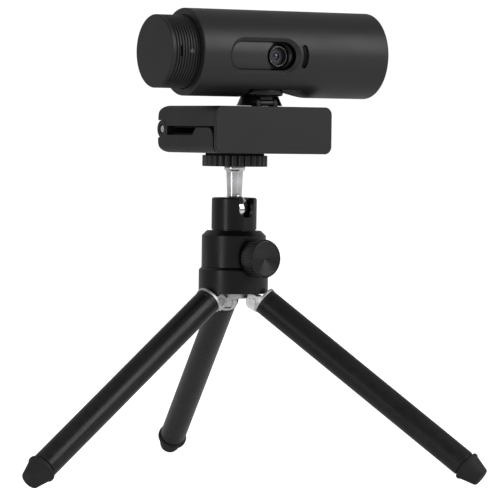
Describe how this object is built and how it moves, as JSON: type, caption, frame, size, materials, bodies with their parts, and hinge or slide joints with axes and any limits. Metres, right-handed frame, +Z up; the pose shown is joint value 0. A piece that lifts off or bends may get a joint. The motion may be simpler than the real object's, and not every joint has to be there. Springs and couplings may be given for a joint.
{
  "type": "webcam on tabletop tripod",
  "caption": "Tube-shaped webcam with a sliding privacy knob, on a folding monitor clip, screwed to a small ball-head tripod with folding legs.",
  "frame": {"origin": "middle of the rest-pose footprint, on the floor", "axes": "+Z up; the webcam looks along -Y; its tube lies along X with the privacy knob at -X"},
  "size_m": [0.1829, 0.1912, 0.1943],
  "materials": {
    "shell_plastic": "satin, fine grain",
    "knob_plastic": "satin",
    "clip_plastic": "fine moulded grain",
    "black_trim": "satin black",
    "neck_disc": "semi-gloss",
    "lens_glass": "coated lens",
    "circuit_board": "solder mask",
    "steel": "plated steel",
    "brass": "turned",
    "rubber": "soft matt",
    "wheel_plastic": "moulded, ribbed",
    "chrome": "polished",
    "head_metal": "satin black anodised",
    "hub_metal": "die cast",
    "knob_metal": "turned, black",
    "leg_black": "satin black anodised",
    "collar_metal": "die cast",
    "foot_rubber": "matt"
  },
  "bodies": {
    "root": {"hub_bracket": "hub_metal", "hub_screw": "steel", "base_collar": "head_metal", "head_housing": "head_metal", "lock_washer": "steel"},
    "lock_knob": {"lock_knob": "knob_metal", "lock_screw": "steel"},
    "clamp_plug": {"clamp_plug": "black_trim"},
    "ball_cup": {"ball_cup": "black_trim"},
    "ball_stud": {"ball_stud": "chrome"},
    "thumb_wheel": {"thumb_wheel": "wheel_plastic", "wheel_pad": "rubber"},
    "clip_lower": {"clip_lower_shell": "clip_plastic", "clip_lower_pad": "rubber", "clip_thread_insert": "brass", "clip_hinge_pin": "steel"},
    "clip_upper": {"clip_upper_shell": "clip_plastic", "clip_front_plate": "clip_plastic", "clip_upper_pad": "rubber", "tilt_axle": "steel"},
    "neck": {"neck_turret": "black_trim", "pan_screw": "steel"},
    "webcam": {"pan_disc": "neck_disc", "front_shell": "shell_plastic", "rear_shell": "shell_plastic", "shell_screws": "steel", "right_end_cap": "shell_plastic", "lens_bezel": "black_trim", "lens_barrel": "black_trim", "lens_glass": "lens_glass", "lens_holder": "black_trim", "sensor_board": "circuit_board", "main_board": "circuit_board", "indicator_window": "black_trim", "indicator_board": "circuit_board", "usb_socket": "steel"},
    "privacy_slider": {"privacy_knob": "knob_plastic", "shutter_sleeve": "shell_plastic"},
    "leg_a": {"leg_a_collar": "collar_metal", "leg_a_pin": "steel", "leg_a_tube": "leg_black", "leg_a_foot": "foot_rubber"},
    "leg_b": {"leg_b_collar": "collar_metal", "leg_b_pin": "steel", "leg_b_tube": "leg_black", "leg_b_foot": "foot_rubber"},
    "leg_c": {"leg_c_collar": "collar_metal", "leg_c_pin": "steel", "leg_c_tube": "leg_black", "leg_c_foot": "foot_rubber"}
  },
  "joints": [
    {"name": "leg_a_fold", "type": "hinge", "parent": "root", "child": "leg_a", "pos_m": [0.02354, -0.01819, 0.0729], "axis": [0.7547, 0.6561, 0], "range_deg": [0, 53.3]},
    {"name": "leg_b_fold", "type": "hinge", "parent": "root", "child": "leg_b", "pos_m": [0.01984, -0.00154, 0.0729], "axis": [-0.9613, 0.2756, 0], "range_deg": [0, 53.3]},
    {"name": "leg_c_fold", "type": "hinge", "parent": "root", "child": "leg_c", "pos_m": [0.00765, -0.01272, 0.0729], "axis": [0.1908, -0.9816, 0], "range_deg": [0, 53.3]},
    {"name": "lock_turn", "type": "hinge", "parent": "root", "child": "lock_knob", "pos_m": [0.01717, -0.01087, 0.0914], "axis": [0.0872, -0.9962, 0], "range_deg": [0, 360]},
    {"name": "clamp_slide", "type": "slide", "parent": "root", "child": "clamp_plug", "axis": [0, 0, -1], "range_m": [0, 0.0003]},
    {"name": "ball_side_tilt", "type": "hinge", "parent": "root", "child": "ball_cup", "pos_m": [0.01717, -0.01087, 0.1112], "axis": [0.0872, -0.9962, 0], "range_deg": [-18, 18]},
    {"name": "ball_notch_tilt", "type": "hinge", "parent": "ball_cup", "child": "ball_stud", "pos_m": [0.01717, -0.01087, 0.1112], "axis": [0.9962, 0.0872, 0], "range_deg": [-18, 80]},
    {"name": "wheel_spin", "type": "hinge", "parent": "ball_stud", "child": "thumb_wheel", "pos_m": [0.01717, -0.01087, 0.131], "axis": [0, 0, 1], "continuous": true},
    {"name": "clip_turn", "type": "hinge", "parent": "ball_stud", "child": "clip_lower", "pos_m": [0.01717, -0.01087, 0.138], "axis": [0, 0, 1], "continuous": true},
    {"name": "clip_open", "type": "hinge", "parent": "clip_lower", "child": "clip_upper", "pos_m": [0.01717, 0.00233, 0.14475], "axis": [-1, 0, 0], "range_deg": [0, 90]},
    {"name": "webcam_tilt", "type": "hinge", "parent": "clip_upper", "child": "neck", "pos_m": [0.01717, -0.03417, 0.1558], "axis": [1, 0, 0], "range_deg": [0, 25]},
    {"name": "webcam_pan", "type": "hinge", "parent": "neck", "child": "webcam", "pos_m": [0.01717, -0.03007, 0.16], "axis": [0, 0, 1], "continuous": true},
    {"name": "privacy_slide", "type": "slide", "parent": "webcam", "child": "privacy_slider", "axis": [1, 0, 0], "range_m": [0, 0.0125]}
  ],
  "couplings": [
    {"joint": "clamp_slide", "follows": "lock_turn", "m_per_rad": 0.0000477}
  ]
}
